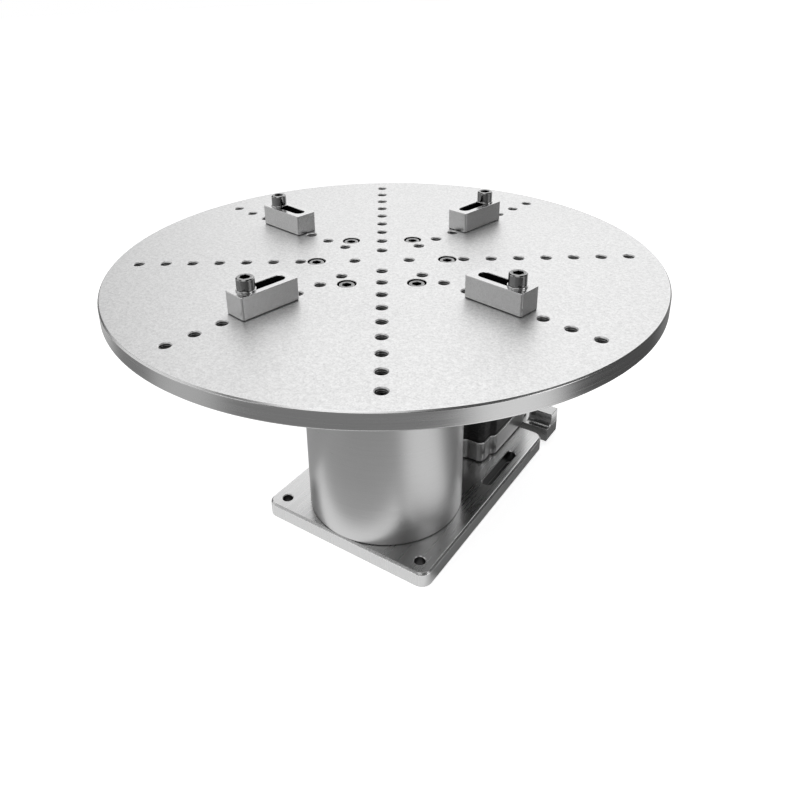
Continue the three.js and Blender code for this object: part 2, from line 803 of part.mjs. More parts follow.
function addMotor() {
  const outline = bellOutline();
  const shaftBore = motorShaftRadius + seatGap;
  const shaftBottom = baseThickness + rearBellHeight / 2;
  const motorThreads = (bottom, top) =>
    motorScrewSpots.map((spot) => threadHole(spot, bottom, top));

  const rearBell = cut(
    slab(outline, baseThickness, rearBellTop),
    rod(shaftBore, shaftBottom - seatGap, rearBellTop + over, headSides, 0, motorY),
    ...motorThreads(baseThickness - over, baseThickness + threadDepth + tipGap),
  );
  place(group, "motor_rear_bell", rearBell, castAluminium);

  const stack = cut(
    slab(outline, rearBellTop, frontBellBottom),
    rod(rotorRadius + rotorAirGap, rearBellTop - over, frontBellBottom + over, middleSides, 0, motorY),
  );
  place(group, "motor_stack", stack, blackPaint);

  const frontBell = cut(
    joined(
      slab(outline, frontBellBottom, columnTop),
      rod(pilotRadius - seatGap, columnTop - over, columnTop + pilotHeight, middleSides, 0, motorY),
    ),
    rod(shaftBore, frontBellBottom - over, columnTop + pilotHeight + over, headSides, 0, motorY),
    ...motorThreads(frontBellBottom + tipGap, columnTop + over),
  );
  place(group, "motor_front_bell", frontBell, castAluminium);

  const plug = rod(connectorRadius, 0, connectorLength, headSides);
  const well = rod(connectorRadius - connectorWall, connectorFloor, connectorLength + over, headSides);
  const connector = place(group, "motor_connector", cut(plug, well), brightSteel);
  connector.rotation.x = -Math.PI / 2;
  connector.position.set(0, motorY + motorHalfWidth + seatGap, connectorHeight);

  const mountReach = housingFloor + frontBellHeight - 2 * tipGap;
  motorScrewSpots.forEach(([x, y], i) => {
    const body = capScrew(lowScrew, mountReach, floorTop, x, y, hiddenSides);
    place(group, `motor_mount_screw_${i + 1}`, body, darkSteel);
  });
  const footReach = baseThickness - screwSink + threadDepth;
  motorScrewSpots.forEach(([x, y], i) => {
    const body = risingScrew(smallScrew, footReach, screwSink, x, y);
    place(group, `motor_foot_screw_${i + 1}`, body, darkSteel);
  });

  const shaft = rod(motorShaftRadius, shaftBottom, pulleyTop, headSides, 0, motorY);
  place(group, "motor_shaft", shaft, brightSteel);
  const rotorBottom = rearBellTop + rotorEndRoom;
  const rotorTop = frontBellBottom - rotorEndRoom;
  const rotor = ring(shaftBore, rotorRadius, rotorBottom, rotorTop, middleSides);
  place(group, "motor_rotor", rotor, darkSteel).position.y = motorY;
  const driver = pulley(motorPulleyRadius, shaftBore, middleSides, 0, motorY);
  place(group, "motor_pulley", driver, milledAluminium);
}

// ---------------------------------------------------------------- assembly

addBase();
addDrive();
addMotor();
addClamps(addTable());

export default group;
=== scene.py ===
import json
import math

import bmesh
import bpy
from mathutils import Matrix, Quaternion, Vector, geometry


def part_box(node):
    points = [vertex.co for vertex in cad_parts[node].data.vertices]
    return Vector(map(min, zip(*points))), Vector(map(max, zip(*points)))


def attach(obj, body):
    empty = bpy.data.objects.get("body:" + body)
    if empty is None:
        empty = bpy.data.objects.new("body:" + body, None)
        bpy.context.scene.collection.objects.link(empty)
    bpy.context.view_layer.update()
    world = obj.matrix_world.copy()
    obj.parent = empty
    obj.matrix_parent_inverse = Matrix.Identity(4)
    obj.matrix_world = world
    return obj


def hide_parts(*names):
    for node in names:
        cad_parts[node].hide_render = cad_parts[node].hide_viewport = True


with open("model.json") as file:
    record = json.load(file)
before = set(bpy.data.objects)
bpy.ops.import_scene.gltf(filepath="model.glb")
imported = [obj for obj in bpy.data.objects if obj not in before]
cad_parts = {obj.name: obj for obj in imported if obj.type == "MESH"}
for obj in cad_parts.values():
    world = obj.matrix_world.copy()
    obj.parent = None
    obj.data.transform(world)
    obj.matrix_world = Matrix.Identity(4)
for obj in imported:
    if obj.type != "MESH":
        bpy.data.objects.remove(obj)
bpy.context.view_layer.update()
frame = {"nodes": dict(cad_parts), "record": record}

MM = 0.001
record = frame["record"]


# ------------------------------------------------------------ places, in millimetres

def low(node):
    """The lowest corner of a node's box."""
    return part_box(node)[0] / MM


def high(node):
    """The highest corner of a node's box."""
    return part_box(node)[1] / MM


def middle(node):
    return (low(node) + high(node)) / 2


def size(node):
    return high(node) - low(node)


# ------------------------------------------------------------ camera

CAMERA_PLACE = (0.2952, -0.4299, 0.4376)
CAMERA_TURN, CAMERA_DIP, CAMERA_ROLL = 35.63, 24.01, -1.52  # degrees
CAMERA_LENS, SENSOR_WIDTH = 34.47, 36
CAMERA_SHIFT = (0.0398, -0.1438)


def add_camera():
    """Looks down on the plate from the front, turned a little past the base's corner."""
    turn, dip, roll = (math.radians(angle) for angle in (CAMERA_TURN, CAMERA_DIP, CAMERA_ROLL))
    ahead = Vector((-math.sin(turn) * math.cos(dip), math.cos(turn) * math.cos(dip), -math.sin(dip)))
    data = bpy.data.cameras.new("camera")
    data.sensor_width = SENSOR_WIDTH
    data.lens = CAMERA_LENS
    data.shift_x, data.shift_y = CAMERA_SHIFT
    data.clip_start = 0.01
    camera = bpy.data.objects.new("camera", data)
    camera.location = CAMERA_PLACE
    camera.rotation_mode = "QUATERNION"
    level = ahead.to_track_quat("-Z", "Y")
    camera.rotation_quaternion = Quaternion(ahead, -roll) @ level
    bpy.context.scene.collection.objects.link(camera)
    bpy.context.scene.camera = camera


add_camera()


# ------------------------------------------------------------ outlines

def band(circles, steps, first=0.0):
    """A tight band round circles [x, y, radius]; the outline grows by the amount it is given."""
    spots = []
    for i in range(steps):
        turn = first + 2 * math.pi * i / steps
        nx, ny = math.cos(turn), math.sin(turn)
        reach = [x * nx + y * ny + r for x, y, r in circles]
        best = max(reach)
        tied = [c for c, far in zip(circles, reach) if best - far < 1e-4]
        tied.sort(key=lambda c: c[1] * nx - c[0] * ny)
        spots += [(x, y, r, nx, ny) for x, y, r in tied]
    return lambda grow: [(x + (r + grow) * nx, y + (r + grow) * ny) for x, y, r, nx, ny in spots]


def circle(x, y, radius, steps):
    return band([(x, y, radius)], steps)


def rounded_box(x0, x1, y0, y1, radius, steps):
    corners = [
        (x, y, radius)
        for x in (x0 + radius, x1 - radius)
        for y in (y0 + radius, y1 - radius)
    ]
    return band(corners, steps)


def polygon(points):
    """A closed outline of straight sides; growing moves each side outwards."""
    count = len(points)

    def grown(grow):
        made = []
        for i, here in enumerate(points):
            before, after = points[i - 1], points[(i + 1) % count]
            a = Vector(here) - Vector(before)
            b = Vector(after) - Vector(here)
            na = Vector((a.y, -a.x)).normalized()
            nb = Vector((b.y, -b.x)).normalized()
            mitre = (na + nb) / (1 + na.dot(nb))
            made.append((here[0] + grow * mitre.x, here[1] + grow * mitre.y))
        return made

    return grown


def hexagon(x, y, flats):
    """A hexagon that measures flats from side to side."""
    reach = flats / 2 / math.cos(math.pi / 6)
    return polygon(
        [
            (x + reach * math.cos(math.pi * i / 3), y + reach * math.sin(math.pi * i / 3))
            for i in range(6)
        ]
    )


def bell_outline(cx, cy, half, step=3.6, lobe=14, corner=6, bends=8):
    """A square whose flanks bulge out between four corner lobes."""
    inner = half - step
    lobe_end = inner - lobe
    flank_end = lobe_end - 2 * step
    quarter = []

    def bend(a, b, c, d):
        for i in range(bends):
            t = i / bends
            s = 1 - t
            w = (s * s * s, 3 * s * s * t, 3 * s * t * t, t * t * t)
            quarter.append(
                tuple(sum(k * p[j] for k, p in zip(w, (a, b, c, d))) for j in (0, 1))
            )

    bend(
        (half, flank_end), (half, flank_end + step), (inner, lobe_end - step), (inner, lobe_end)
    )
    quarter.append((inner, lobe_end))
    for i in range(bends + 1):
        turn = math.pi / 2 * i / bends
        quarter.append(
            (inner - corner + corner * math.cos(turn), inner - corner + corner * math.sin(turn))
        )
    bend(
        (lobe_end, inner), (lobe_end - step, inner), (flank_end + step, half), (flank_end, half)
    )
    quarter.append((flank_end, half))
    points = []
    for side in range(4):
        c, s = (1, 0, -1, 0)[side], (0, 1, 0, -1)[side]
        points += [(cx + u * c - v * s, cy + u * s + v * c) for u, v in quarter]
    return polygon(points)


# ------------------------------------------------------------ meshes

class Piece:
    """Rings and faces of one closed piece, in millimetres; each corner says how much of an edge it is, or,
    below zero, how much painted shade it carries.
    """

    def __init__(self):
        self.points = []
        self.edges = []
        self.faces = []

    def ring(self, outline, grow, z, edge=0.0):
        first = len(self.points)
        spots = outline(grow)
        self.points += [(x, y, z) for x, y in spots]
        self.edges += [edge] * len(spots)
        return list(range(first, first + len(spots)))

    def wall(self, outline, profile):
        """A wall that follows the outline through the profile's (grow, height, edge) corners."""
        return self.skin([self.ring(outline, *corner) for corner in profile])

    def skin(self, rings):
        """Joins each ring to the next, and returns the first and the last."""
        for a, b in zip(rings, rings[1:]):
            for i in range(len(a)):
                j = (i + 1) % len(a)
                self.faces.append((a[i], a[j], b[j], b[i]))
        return rings[0], rings[-1]

    def bar(self, outline, x0, x1, soft):
        """A bar along X with the outline as its section, its ends softened."""
        rings = []
        for x, grow, edge in (
            (x0, -2 * soft, 0), (x0, -soft, 1), (x0 + soft, 0, 1), (x0 + 2 * soft, 0, 0),
            (x1 - 2 * soft, 0, 0), (x1 - soft, 0, 1), (x1, -soft, 1), (x1, -2 * soft, 0),
        ):
            flat = self.ring(outline, grow, x, edge)
            for i in flat:
                y, z, x = self.points[i]
                self.points[i] = (x, y, z)
            rings.append(flat)
        self.faces += [tuple(ring) for ring in self.skin(rings)]

    def panel(self, outer, *holes):
        """A flat face between one ring and the holes in it."""
        loops = [outer, *holes]
        index = [i for loop in loops for i in loop]
        spots = [Vector(self.points[i][:2]) for i in index]
        bounds, start = [], 0
        for loop in loops:
            bounds.append(list(range(start, start + len(loop))))
            start += len(loop)
        _, _, faces, origins, _, _ = geometry.delaunay_2d_cdt(spots, [], bounds, 2, 1e-5)
        for face in faces:
            self.faces.append(tuple(index[origins[i][0]] for i in face))

    def stand_in(self, node, look=None, sharp=28):
        """Makes the mesh, and shows it in place of the CAD node that it is named after."""
        name, slot = node + ".look", slot_of[node]
        mesh = bpy.data.meshes.new(name)
        mesh.from_pydata([Vector(p) * MM for p in self.points], [], self.faces)
        work = bmesh.new()
        work.from_mesh(mesh)
        bmesh.ops.recalc_face_normals(work, faces=work.faces)
        work.to_mesh(mesh)
        work.free()
        mesh.attributes.new("edge", "FLOAT", "POINT").data.foreach_set("value", self.edges)
        mesh.shade_smooth()
        mesh.set_sharp_from_angle(angle=math.radians(sharp))
        mesh.materials.append(look or LOOKS[slot])
        piece = bpy.data.objects.new(name, mesh)
        bpy.context.scene.collection.objects.link(piece)
        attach(piece, body_of[node])
        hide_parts(node)
        return piece


PITCH, THREAD_DEPTH = 1.25, 0.34  # the threads in the tapped holes, as rings


def softened(corners, radius=0.15, guard=0.12, turns=3):
    """Rounds each corner inside a profile, and marks the rounding as an edge."""
    made = [(*corners[0], 0.0)]
    for before, here, after in zip(corners, corners[1:], corners[2:]):
        back = Vector(before) - Vector(here)
        on = Vector(after) - Vector(here)
        r = min(radius, 0.3 * back.length, 0.3 * on.length)
        g = min(guard, 0.15 * back.length, 0.15 * on.length)
        back.normalize()
        on.normalize()
        start = Vector(here) + r * back
        end = Vector(here) + r * on
        made.append((*(start + g * back), 0.0))
        for i in range(turns + 1):
            t = i / turns
            spot = (1 - t) ** 2 * start + 2 * t * (1 - t) * Vector(here) + t * t * end
            made.append((*spot, 1.0))
        made.append((*(end + g * on), 0.0))
    made.append((*corners[-1], 0.0))
    return made


def bored(piece, x, y, radius, top, bottom, chamfer, threaded=False, steps=32, land=0.7):
    """A hole's wall, chamfered at both ends, with painted shade inside; returns its two end rings."""
    corners = [(chamfer + land, top), (chamfer, top), (0, top - chamfer)]
    profile = softened([*corners, (0, top - chamfer - 1)], 0.08, 0.05, 2)[:-1]
    # Marks below zero: painted shade inside the hole, darker further down the threads.
    profile.append((0, top - chamfer - 0.25, -0.3 if threaded else -0.8))
    if threaded:
        z = top - chamfer - 0.3
        while z - PITCH > bottom + chamfer:
            painted_shade = -min(1.0, 0.2 + (top - z) / 4)
            profile.append((-0.02, z - PITCH * 0.1, painted_shade))
            profile.append((THREAD_DEPTH, z - PITCH * 0.5, -1.0))
            profile.append((-0.02, z - PITCH * 0.92, painted_shade))
            z -= PITCH
    profile.append((0, bottom + chamfer + 0.25, -0.9))
    tail = [(0, bottom + chamfer + 1), (0, bottom + chamfer), (chamfer, bottom)]
    profile += softened([*tail, (chamfer + land, bottom)], 0.08, 0.05, 2)[1:]
    return piece.wall(circle(x, y, radius, steps), profile)


# ------------------------------------------------------------ materials

def new_group(name, inputs, outputs):
    tree = bpy.data.node_groups.new(name, "ShaderNodeTree")
    for title, kind, value in inputs:
        socket = tree.interface.new_socket(title, in_out="INPUT", socket_type=kind)
        if value is not None:
            socket.default_value = value
    for title, kind in outputs:
        tree.interface.new_socket(title, in_out="OUTPUT", socket_type=kind)
    return tree, tree.nodes.new("NodeGroupInput"), tree.nodes.new("NodeGroupOutput")


def add(tree, kind, links=None, **values):
    """A node with its properties set, and its sockets set to a constant or linked to an output."""
    node = tree.nodes.new(kind)
    for key, value in values.items():
        setattr(node, key, value)
    for key, value in (links or {}).items():
        if isinstance(value, bpy.types.NodeSocket):
            tree.links.new(value, node.inputs[key])
        else:
            node.inputs[key].default_value = value
    return node


def sums(tree, operation, a, b, clamp=False):
    return add(tree, "ShaderNodeMath", {0: a, 1: b}, operation=operation, use_clamp=clamp).outputs[0]


def spread(tree, value, low_in, high_in, low_out, high_out):
    links = {
        "Value": value, "From Min": low_in, "From Max": high_in, "To Min": low_out, "To Max": high_out,
    }
    return add(tree, "ShaderNodeMapRange", links).outputs["Result"]


def noise(tree, place, scale, detail=2.0, rough=0.5):
    links = {"Vector": place, "Scale": scale, "Detail": detail, "Roughness": rough}
    return add(tree, "ShaderNodeTexNoise", links).outputs["Fac"]


FLOAT, VECTOR = "NodeSocketFloat", "NodeSocketVector"


def grain_group():
    """Fine even grain, as bead blasting leaves it, with faint cloudy patches."""
    tree, inside, out = new_group(
        "grain",
        [("Scale", FLOAT, 1800.0), ("Strength", FLOAT, 1.0)],
        [("Height", FLOAT), ("Shade", FLOAT), ("Rough", FLOAT)],
    )
    place = add(tree, "ShaderNodeTexCoord").outputs["Object"]
    coarse = sums(tree, "MULTIPLY", inside.outputs["Scale"], 0.45)
    fine = noise(tree, place, inside.outputs["Scale"], 1.0)
    wide = noise(tree, place, coarse, 2.0)
    cloud = noise(tree, place, 14.0, 3.0, 0.6)
    both = sums(tree, "ADD", sums(tree, "MULTIPLY", fine, 0.5), sums(tree, "MULTIPLY", wide, 0.5))
    tree.links.new(both, out.inputs["Height"])
    light = spread(tree, both, 0.3, 0.7, -0.06, 0.06)
    light = sums(tree, "MULTIPLY", light, inside.outputs["Strength"])
    patch = spread(tree, cloud, 0.3, 0.7, 0.975, 1.02)
    tree.links.new(sums(tree, "ADD", light, patch), out.inputs["Shade"])
    tree.links.new(spread(tree, cloud, 0.3, 0.7, -0.03, 0.03), out.inputs["Rough"])
    return tree


def lines_group():
    """Fine tool lines: noise stretched along the cut by the three scales it is given."""
    tree, inside, out = new_group(
        "tool_lines",
        [("Scales", VECTOR, (40.0, 40.0, 4000.0))],
        [("Height", FLOAT), ("Shade", FLOAT), ("Rough", FLOAT)],
    )
    place = add(tree, "ShaderNodeTexCoord").outputs["Object"]
    links = {0: place, 1: inside.outputs["Scales"]}
    drawn = add(tree, "ShaderNodeVectorMath", links, operation="MULTIPLY").outputs[0]
    fine = noise(tree, drawn, 1.0, 3.0, 0.65)
    broad = noise(tree, drawn, 0.17, 2.0, 0.5)
    both = sums(tree, "ADD", sums(tree, "MULTIPLY", fine, 0.6), sums(tree, "MULTIPLY", broad, 0.4))
    tree.links.new(both, out.inputs["Height"])
    tree.links.new(spread(tree, both, 0.3, 0.7, 0.96, 1.04), out.inputs["Shade"])
    tree.links.new(spread(tree, broad, 0.3, 0.7, -0.04, 0.04), out.inputs["Rough"])
    return tree


def edge_group():
    """Edges made brighter, partly as wear and partly as painted highlight, broken up a little, and painted
    shade in hollows and contact lines: above and below 0 in the mesh's marks.
    """
    tree, inside, out = new_group(
        "wear_highlight_and_shade", [("Amount", FLOAT, 1.0)], [("Mask", FLOAT), ("Painted_Shade", FLOAT)]
    )
    given = add(tree, "ShaderNodeAttribute", attribute_name="edge").outputs["Fac"]
    marked = sums(tree, "MAXIMUM", given, 0.0)
    painted_shade = sums(tree, "MULTIPLY", sums(tree, "MINIMUM", given, 0.0), -1.0)
    tree.links.new(painted_shade, out.inputs["Painted_Shade"])
    place = add(tree, "ShaderNodeTexCoord").outputs["Object"]
    patchy = spread(tree, noise(tree, place, 160.0, 4.0, 0.6), 0.35, 0.65, 0.55, 1.0)
    wear_and_highlight = sums(tree, "MULTIPLY", sums(tree, "MULTIPLY", marked, patchy), inside.outputs["Amount"])
    tree.links.new(wear_and_highlight, out.inputs["Mask"])
    return tree


GRAIN, LINES, EDGES = grain_group(), lines_group(), edge_group()
RELIEF = 0.0002  # the height of the grain and of the tool lines, in metres


def use(tree, group, **values):
    node = tree.nodes.new("ShaderNodeGroup")
    node.node_tree = group
    for key, value in values.items():
        node.inputs[key].default_value = value
    return node


def blank(name):
    look = bpy.data.materials.new(name)
    look.use_nodes = True
    tree = look.node_tree
    return look, tree, tree.nodes["Principled BSDF"]


def grey(level):
    return (level, level, level, 1.0)


def metal(name, shade, rough, grain=None, lines=None, bump=0.05, wear_and_highlight=0.5, metallic=1.0,
          edge_rough=-0.08):
    """A metal with blasted grain, tool lines or both, edges made brighter as wear and painted highlight,
    and painted shade where the mesh marks it.
    """
    look, tree, shader = blank(name)
    marks = []
    if grain:
        marks.append(use(tree, GRAIN, Scale=grain[0], Strength=grain[1]))
    if lines:
        marks.append(use(tree, LINES, Scales=lines))
    height, light, blur = (marks[0].outputs[title] for title in ("Height", "Shade", "Rough"))
    if len(marks) > 1:
        more = marks[1].outputs
        half, other_half = (sums(tree, "MULTIPLY", h, 0.5) for h in (height, more["Height"]))
        height = sums(tree, "ADD", half, other_half)
        light = sums(tree, "MULTIPLY", light, more["Shade"])
        blur = sums(tree, "ADD", blur, more["Rough"])
    edges = use(tree, EDGES, Amount=wear_and_highlight)
    mask, painted_shade = edges.outputs["Mask"], edges.outputs["Painted_Shade"]
    plain = add(tree, "ShaderNodeMix", {"Factor": 1.0}, data_type="RGBA", blend_type="MULTIPLY")
    plain.inputs[6].default_value = grey(shade)
    shaded = add(tree, "ShaderNodeCombineColor", {"Red": light, "Green": light, "Blue": light})
    tree.links.new(shaded.outputs[0], plain.inputs[7])
    # Edges brightened: partly wear, partly painted highlight.
    bright = add(tree, "ShaderNodeMix", {"Factor": mask}, data_type="RGBA")
    tree.links.new(plain.outputs[2], bright.inputs[6])
    bright.inputs[7].default_value = grey(min(0.97, shade + 0.3))
    # Painted shade: near black where the mesh marks hollows and contact lines.
    sunk = add(tree, "ShaderNodeMix", {"Factor": painted_shade}, data_type="RGBA")
    tree.links.new(bright.outputs[2], sunk.inputs[6])
    sunk.inputs[7].default_value = grey(0.012)
    tree.links.new(sunk.outputs[2], shader.inputs["Base Color"])
    level = sums(tree, "ADD", blur, rough)
    level = sums(tree, "ADD", level, sums(tree, "MULTIPLY", mask, edge_rough), clamp=True)
    tree.links.new(level, shader.inputs["Roughness"])
    shader.inputs["Metallic"].default_value = metallic
    raised = add(tree, "ShaderNodeBump", {"Height": height, "Strength": bump, "Distance": RELIEF})
    tree.links.new(raised.outputs[0], shader.inputs["Normal"])
    return look


blasted = metal("blasted_plate", 0.80, 0.47, grain=(1000.0, 2.8), bump=0.30, wear_and_highlight=0.8)
turned_rim = metal("turned_rim", 0.74, 0.24, lines=(60.0, 60.0, 4200.0), bump=0.04, wear_and_highlight=0.8)
turned_tube = metal(
    "turned_tube", 0.64, 0.33, grain=(2600.0, 0.5), lines=(60.0, 60.0, 5200.0), bump=0.10, wear_and_highlight=0.5
)
milled = metal(
    "milled_plate", 0.64, 0.29, grain=(2200.0, 0.6), lines=(4200.0, 50.0, 50.0), bump=0.035, wear_and_highlight=0.9
)
# The foot's polished finish, with its shade set low as painted shade on the ears' near faces.
polished_and_shaded = metal(
    "polished_shaded_foot", 0.50, 0.20, grain=(2200.0, 0.4), lines=(50.0, 4200.0, 2000.0), bump=0.04, wear_and_highlight=0.6
)
block_look = metal("clamp_block_satin", 0.70, 0.26, grain=(1300.0, 1.5), bump=0.06, wear_and_highlight=0.4)
bell_look = metal("motor_bell_satin", 0.64, 0.29, grain=(900.0, 0.9), bump=0.14, wear_and_highlight=0.6)
cast = metal("cast_shell", 0.62, 0.38, grain=(900.0, 1.3), bump=0.35, wear_and_highlight=0.6)
plain_steel = metal(
    "polished_steel", 0.72, 0.10, grain=(1500.0, 0.4), lines=(90.0, 90.0, 3000.0), bump=0.03, wear_and_highlight=0.5
)
# A darker copy of the polished steel: its low shade is painted shade, so that the screw heads look dark.
shaded_screw_steel = metal(
    "shaded_screw_steel", 0.26, 0.09, grain=(1500.0, 0.4), lines=(90.0, 90.0, 3000.0), bump=0.02, wear_and_highlight=0.9,
    edge_rough=0.05,
)
black_steel = metal(
    "black_oxide_steel", 0.06, 0.30, grain=(1400.0, 1.0), bump=0.12, wear_and_highlight=0.6, metallic=0.85
)
paint = metal(
    "black_case", 0.018, 0.42, grain=(1800.0, 1.5), lines=(30.0, 30.0, 2000.0), bump=0.25, wear_and_highlight=0.35,
    metallic=0.1,
)
paint.node_tree.nodes["Principled BSDF"].inputs["Specular IOR Level"].default_value = 0.2
rubber = metal("belt_rubber_black", 0.02, 0.7, grain=(1300.0, 1.5), bump=0.3, wear_and_highlight=0.0, metallic=0.0)

LOOKS = {
    "table_aluminium": blasted,
    "column_aluminium": turned_tube,
    "milled_aluminium": milled,
    "block_aluminium": block_look,
    "cast_aluminium": cast,
    "bright_steel": plain_steel,
    "dark_steel": black_steel,
    "black_paint": paint,
    "belt_rubber": rubber,
}
slot_of = {part["node"]: part["material_slot"] for part in record["subparts"]}
body_of = {n: body for body, nodes in record["behaviour"]["bodies"].items() for n in nodes}


# ------------------------------------------------------------ screws

SHANK, CLEARANCE, TAPPED = 4.0, 4.3, 3.7  # radii: an M8 screw, its free hole and its tapped hole


def cap_screw(node, head, height, flats, depth):
    """A socket-head screw: head with a chamfered rim, hexagon socket dark with painted shade, plain shank.
    """
    x, y, _ = middle(node)
    bottom, top = low(node).z, high(node).z
    seat, floor = top - height + 0.03, top - depth
    bevel = 0.75
    axis = circle(x, y, 0, 72)
    outside = [
        (flats / 2 / math.cos(math.pi / 6) + 0.4, top), (head - bevel, top), (head, top - bevel),
        (head, seat + 0.35), (head - 0.35, seat), (SHANK + 0.2, seat), (SHANK, seat - 0.4),
        (SHANK, bottom + 0.8), (SHANK - 0.8, bottom), (0.4, bottom),
    ]
    piece = Piece()
    rim, tip = piece.wall(axis, softened(outside, 0.16, 0.1))
    piece.panel(tip)
    mouth = softened([(0.3, top), (0.18, top), (0.0, top - 0.25), (0.0, top - 1)], 0.06, 0.05, 2)[:-1]
    # Painted shade down the hexagon socket and on its drill point.
    well = [(0.0, top - 0.6, -0.9), (0.0, floor + 0.2, -1.0), (-0.2, floor, -1.0)]
    upper, lower = piece.wall(hexagon(x, y, flats), mouth + well)
    piece.panel(rim, upper)
    drill = flats / 2 - 0.25
    cone_top, cone_end = piece.wall(axis, [(drill, floor, -1), (0.3, floor - drill * 0.5, -1)])
    piece.panel(lower, cone_top)
    piece.panel(cone_end)
    piece.stand_in(node, shaded_screw_steel)


# ------------------------------------------------------------ table

LOW_HEAD = 7  # the height of the plate screws' heads


def tapped_spots(sunk):
    """The tapped holes: eight rows, stepped and turned as the clamps' screws stand in them."""
    mark = middle("clamp_1_screw")
    turn = math.atan2(mark.y, mark.x) - math.pi / 4
    step = math.hypot(mark.x, mark.y) / 6
    least_gap = 10.95
    spots = []
    for row in range(8):
        along = turn + row * math.pi / 4
        for k in range(1 if row % 2 == 0 else 2, 10):
            x, y = k * step * math.cos(along), k * step * math.sin(along)
            if all(math.hypot(x - s.x, y - s.y) > least_gap for s in sunk):
                spots.append((x, y))
    return spots


def table_plate():
    """The drilled plate: a blasted face, a smooth rim, tapped holes and counterbores."""
    node = "table_plate"
    top, bottom = high(node).z, low(node).z
    radius, edge = size(node).x / 2, 1.0
    corners = [
        (-4, top), (-edge, top), (0, top - edge), (0, bottom + edge), (-edge, bottom), (-4, bottom)
    ]
    piece = Piece()
    upper, lower = piece.wall(circle(0, 0, radius, 256), softened(corners, 0.25, 0.2))
    sunk = [middle(f"plate_screw_{i}") for i in range(1, 7)]
    ends = [
        bored(piece, x, y, TAPPED, top, bottom, 0.7, threaded=True, land=0.15)
        for x, y in tapped_spots(sunk)
    ]
    wide, free = 6.7, CLEARANCE
    seat = high("plate_screw_1").z - LOW_HEAD - 0.05
    mouth = [(wide + 0.4, top), (wide + 0.25, top), (wide, top - 0.25), (wide, top - 1)]
    # Painted shade on the counterbores' walls and seats.
    well = [(wide, top - 0.4, -1.0), (wide, seat, -1.0), (free + 0.2, seat, -1.0), (free, seat - 0.3, -1.0)]
    foot = [(free, bottom + 1), (free, bottom + 0.4), (free + 0.4, bottom), (free + 1.1, bottom)]
    profile = softened(mouth, 0.08, 0.05, 2)[:-1] + well + softened(foot, 0.1, 0.08, 2)
    ends += [piece.wall(circle(s.x, s.y, 0, 40), profile) for s in sunk]
    piece.panel(upper, *(end[0] for end in ends))
    piece.panel(lower, *(end[1] for end in ends))
    plate = piece.stand_in(node)
    plate.data.materials.append(turned_rim)
    for face in plate.data.polygons:
        if face.center.xy.length > (radius - edge * 0.99) * MM:
            face.material_index = 1


def spindle():
    """The hub flange under the plate and the shaft below it."""
    node = "spindle"
    foot, head = low(node).z, high(node).z
    hub, shaft, thick = size(node).x / 2, 19.95, 8.5
    corners = [
        (0.5, head), (hub - 0.6, head), (hub, head - 0.6), (hub, head - thick + 0.6),
        (hub - 0.6, head - thick), (23, head - thick), (shaft, head - thick - 1), (shaft, foot + 1),
        (shaft - 1, foot), (0.5, foot),
    ]
    piece = Piece()
    for end in piece.wall(circle(0, 0, 0, 128), softened(corners, 0.25, 0.2)):
        piece.panel(end)
    piece.stand_in(node)


table_plate()
for number in range(1, 7):
    cap_screw(f"plate_screw_{number}", head=5.95, height=LOW_HEAD, flats=6, depth=4)
spindle()


# ------------------------------------------------------------ clamps

def clamp_block(node, axis):
    """A slotted block that points at the plate's middle, with a line of painted shade where it stands."""
    turn = math.atan2(axis.y, axis.x)
    c, s = math.cos(turn), math.sin(turn)

    def placed(u, v):
        return (axis.x + u * c - v * s, axis.y + u * s + v * c)

    bottom, top = low(node).z, high(node).z
    inner, outer, side, bend = -35.0, 10.0, 9.0, 1.5
    posts = [
        (*placed(u, v), bend)
        for u in (inner + bend, outer - bend) for v in (bend - side, side - bend)
    ]
    rim = softened([(-0.9, top), (-0.3, top), (0, top - 0.3), (0, bottom + 2)], 0.12, 0.1)
    # Painted shade: a dark contact line round the block's foot.
    foot = [(0, bottom + 0.9, 0), (-0.02, bottom + 0.6, -0.85), (-0.6, bottom, -0.9), (-0.9, bottom, 0)]
    piece = Piece()
    upper, lower = piece.wall(band(posts, 96, turn), rim + foot)
    half_slot, end_wall = 4.4, 5.3
    ends = [(*placed(inner + end_wall + half_slot, 0), half_slot), (*placed(0, 0), half_slot)]
    mouth = softened([(1.0, top), (0.3, top), (0, top - 0.3), (0, top - 2)], 0.1, 0.08)[:-1]
    # Painted shade down the slot's walls.
    sunk = [(0, top - 0.9, -0.75), (0, bottom + 0.9, -0.9)]
    foot = softened([(0, bottom + 2), (0, bottom + 0.3), (0.3, bottom), (1.0, bottom)], 0.1, 0.08)[1:]
    slot_top, slot_foot = piece.wall(band(ends, 64, turn), mouth + sunk + foot)
    piece.panel(upper, slot_top)
    piece.panel(lower, slot_foot)
    piece.stand_in(node)


def clamp_washer(node, axis):
    bottom, top = low(node).z, high(node).z
    rim, bevel, lip = 6.58, 0.18, CLEARANCE + 0.2
    corners = [
        (lip, top), (rim - bevel, top), (rim, top - 0.2), (rim, bottom + 0.2), (rim - bevel, bottom),
        (lip, bottom),
    ]
    around = circle(axis.x, axis.y, 0, 72)
    piece = Piece()
    outside = piece.wall(around, softened(corners, 0.08, 0.05, 2))
    inside = piece.wall(around, [(CLEARANCE, top, 0), (CLEARANCE, bottom, 0)])
    for outer, inner in zip(outside, inside):
        piece.panel(outer, inner)
    piece.stand_in(node)


for number in range(1, 5):
    screw = f"clamp_{number}_screw"
    clamp_block(f"clamp_{number}_block", middle(screw))
    clamp_washer(f"clamp_{number}_washer", middle(screw))
    cap_screw(screw, head=5.98, height=8, flats=6.4, depth=4.5)


# ------------------------------------------------------------ base and column

